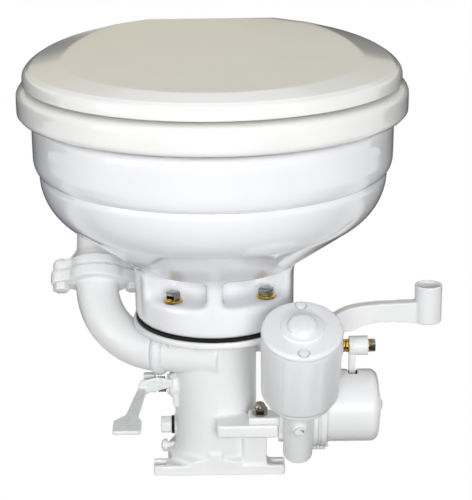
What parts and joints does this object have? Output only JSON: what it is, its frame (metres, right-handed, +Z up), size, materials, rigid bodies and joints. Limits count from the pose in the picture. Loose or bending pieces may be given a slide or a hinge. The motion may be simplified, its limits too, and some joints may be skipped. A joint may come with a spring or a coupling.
{
  "type": "marine toilet",
  "caption": "Marine toilet with a china bowl on a piston pump, hand lever, foot pedal, and a motor that drives the lever through a worm gearbox",
  "frame": {"origin": "middle of the pump's barrel, at the underside of its foot, on the deck", "axes": "+Z up; -Y to the front, where the user sits facing; +X to the side with the lever and the motor"},
  "size_m": [0.398, 0.411, 0.4045],
  "materials": {
    "china": "glossy glaze",
    "white_enamel": "glossy white enamel on cast iron",
    "seat_enamel": "glossy baked white enamel on moulded wood",
    "motor_paint": "semi-gloss white paint",
    "pedal_paint": "worn semi-gloss light grey paint",
    "painted_fastener": "painted over with its casting",
    "steel": "bright turned steel",
    "dark_steel": "dark polished steel",
    "brass": "satin brass",
    "rubber": "matte black rubber",
    "leather": "oiled cup leather",
    "hinge_metal": "polished chrome plate",
    "bumper": "white rubber",
    "copper_winding": "varnished winding on a steel core"
  },
  "bodies": {
    "toilet": {"pump_base": "white_enamel", "drain_plug": "painted_fastener", "drain_washer": "rubber", "vent_plug": "painted_fastener", "water_inlet": "painted_fastener", "foot_valve": "rubber", "base_gasket": "rubber", "bowl": "china", "bowl_bolts": "dark_steel", "bowl_washers": "brass", "bowl_nuts": "brass", "flush_inlet": "brass", "discharge_elbow": "white_enamel", "elbow_gland": "painted_fastener", "flange_gasket": "rubber", "discharge_neck": "white_enamel", "flange_bolts": "painted_fastener", "joker_valve": "rubber", "flap_pin": "steel", "pedal_spring": "dark_steel", "pedal_packing_nut": "brass", "lever_packing_nut": "brass", "gear_housing": "white_enamel", "gear_cover": "white_enamel", "cover_gasket": "rubber", "cover_screws": "painted_fastener", "case_bushes": "brass", "worm_bushes": "brass", "grease_plug": "painted_fastener", "case_nut": "dark_steel", "motor_can": "motor_paint", "motor_end_cap": "motor_paint", "motor_bolts": "painted_fastener", "hinge_posts": "hinge_metal", "hinge_bolts": "brass", "hinge_rod": "hinge_metal"},
    "seat": {"seat_ring": "seat_enamel", "seat_bumpers": "bumper", "seat_straps": "hinge_metal"},
    "lid": {"lid": "seat_enamel", "lid_bumpers": "bumper", "lid_straps": "hinge_metal"},
    "lever": {"lever_shaft": "steel", "lever_arm": "white_enamel", "rocker": "brass", "link_bolt": "steel", "link_washers": "brass"},
    "connecting_rod": {"connecting_rod": "white_enamel"},
    "piston": {"piston_rod": "brass", "piston": "brass", "piston_seal": "leather"},
    "pedal": {"pedal_shaft": "steel", "foot_pedal": "pedal_paint"},
    "flap": {"flap_valve": "rubber"},
    "motor": {"armature": "copper_winding", "worm": "steel"},
    "crank": {"crankshaft": "steel", "worm_wheel": "brass"}
  },
  "joints": [
    {"name": "seat_hinge", "type": "hinge", "parent": "toilet", "child": "seat", "pos_m": [0, 0.212, 0.38], "axis": [-1, 0, 0], "range_deg": [0, 95]},
    {"name": "lid_hinge", "type": "hinge", "parent": "seat", "child": "lid", "pos_m": [0, 0.212, 0.38], "axis": [-1, 0, 0], "range_deg": [0, 95]},
    {"name": "lever_pivot", "type": "hinge", "parent": "toilet", "child": "lever", "pos_m": [0, 0.02, 0.11799], "axis": [1, 0, 0], "range_deg": [-14, 14]},
    {"name": "connecting_rod_pivot", "type": "hinge", "parent": "lever", "child": "connecting_rod", "pos_m": [0, -0.01499, 0.12349], "axis": [1, 0, 0], "range_deg": [-14.5, 14.5]},
    {"name": "piston_slide", "type": "slide", "parent": "toilet", "child": "piston", "axis": [0, 0, 1], "range_m": [-0.0066, 0.0066]},
    {"name": "pedal_pivot", "type": "hinge", "parent": "toilet", "child": "pedal", "pos_m": [0, -0.008, 0.0825], "axis": [1, 0, 0], "range_deg": [0, 15], "stiffness_Nm_per_rad": 1.2, "springref_deg": -20.05, "deforming": ["pedal_spring"]},
    {"name": "flap_pivot", "type": "hinge", "parent": "toilet", "child": "flap", "pos_m": [0, 0.0295, 0.1395], "axis": [1, 0, 0], "range_deg": [0, 12.5]},
    {"name": "motor_spin", "type": "hinge", "parent": "toilet", "child": "motor", "pos_m": [0.078, -0.059, 0.04], "axis": [0, -0.3971, 0.9178], "continuous": true},
    {"name": "wheel_spin", "type": "hinge", "parent": "toilet", "child": "crank", "pos_m": [0, -0.02899, 0.06759], "axis": [1, 0, 0], "continuous": true}
  ],
  "couplings": [
    {"joint": "connecting_rod_pivot", "follows": "lever_pivot", "ratio": -1},
    {"joint": "piston_slide", "follows": "lever_pivot", "m_per_rad": -0.026},
    {"joint": "flap_pivot", "follows": "pedal_pivot", "ratio": 0.8},
    {"joint": "wheel_spin", "follows": "motor_spin", "ratio": 0.041667}
  ]
}
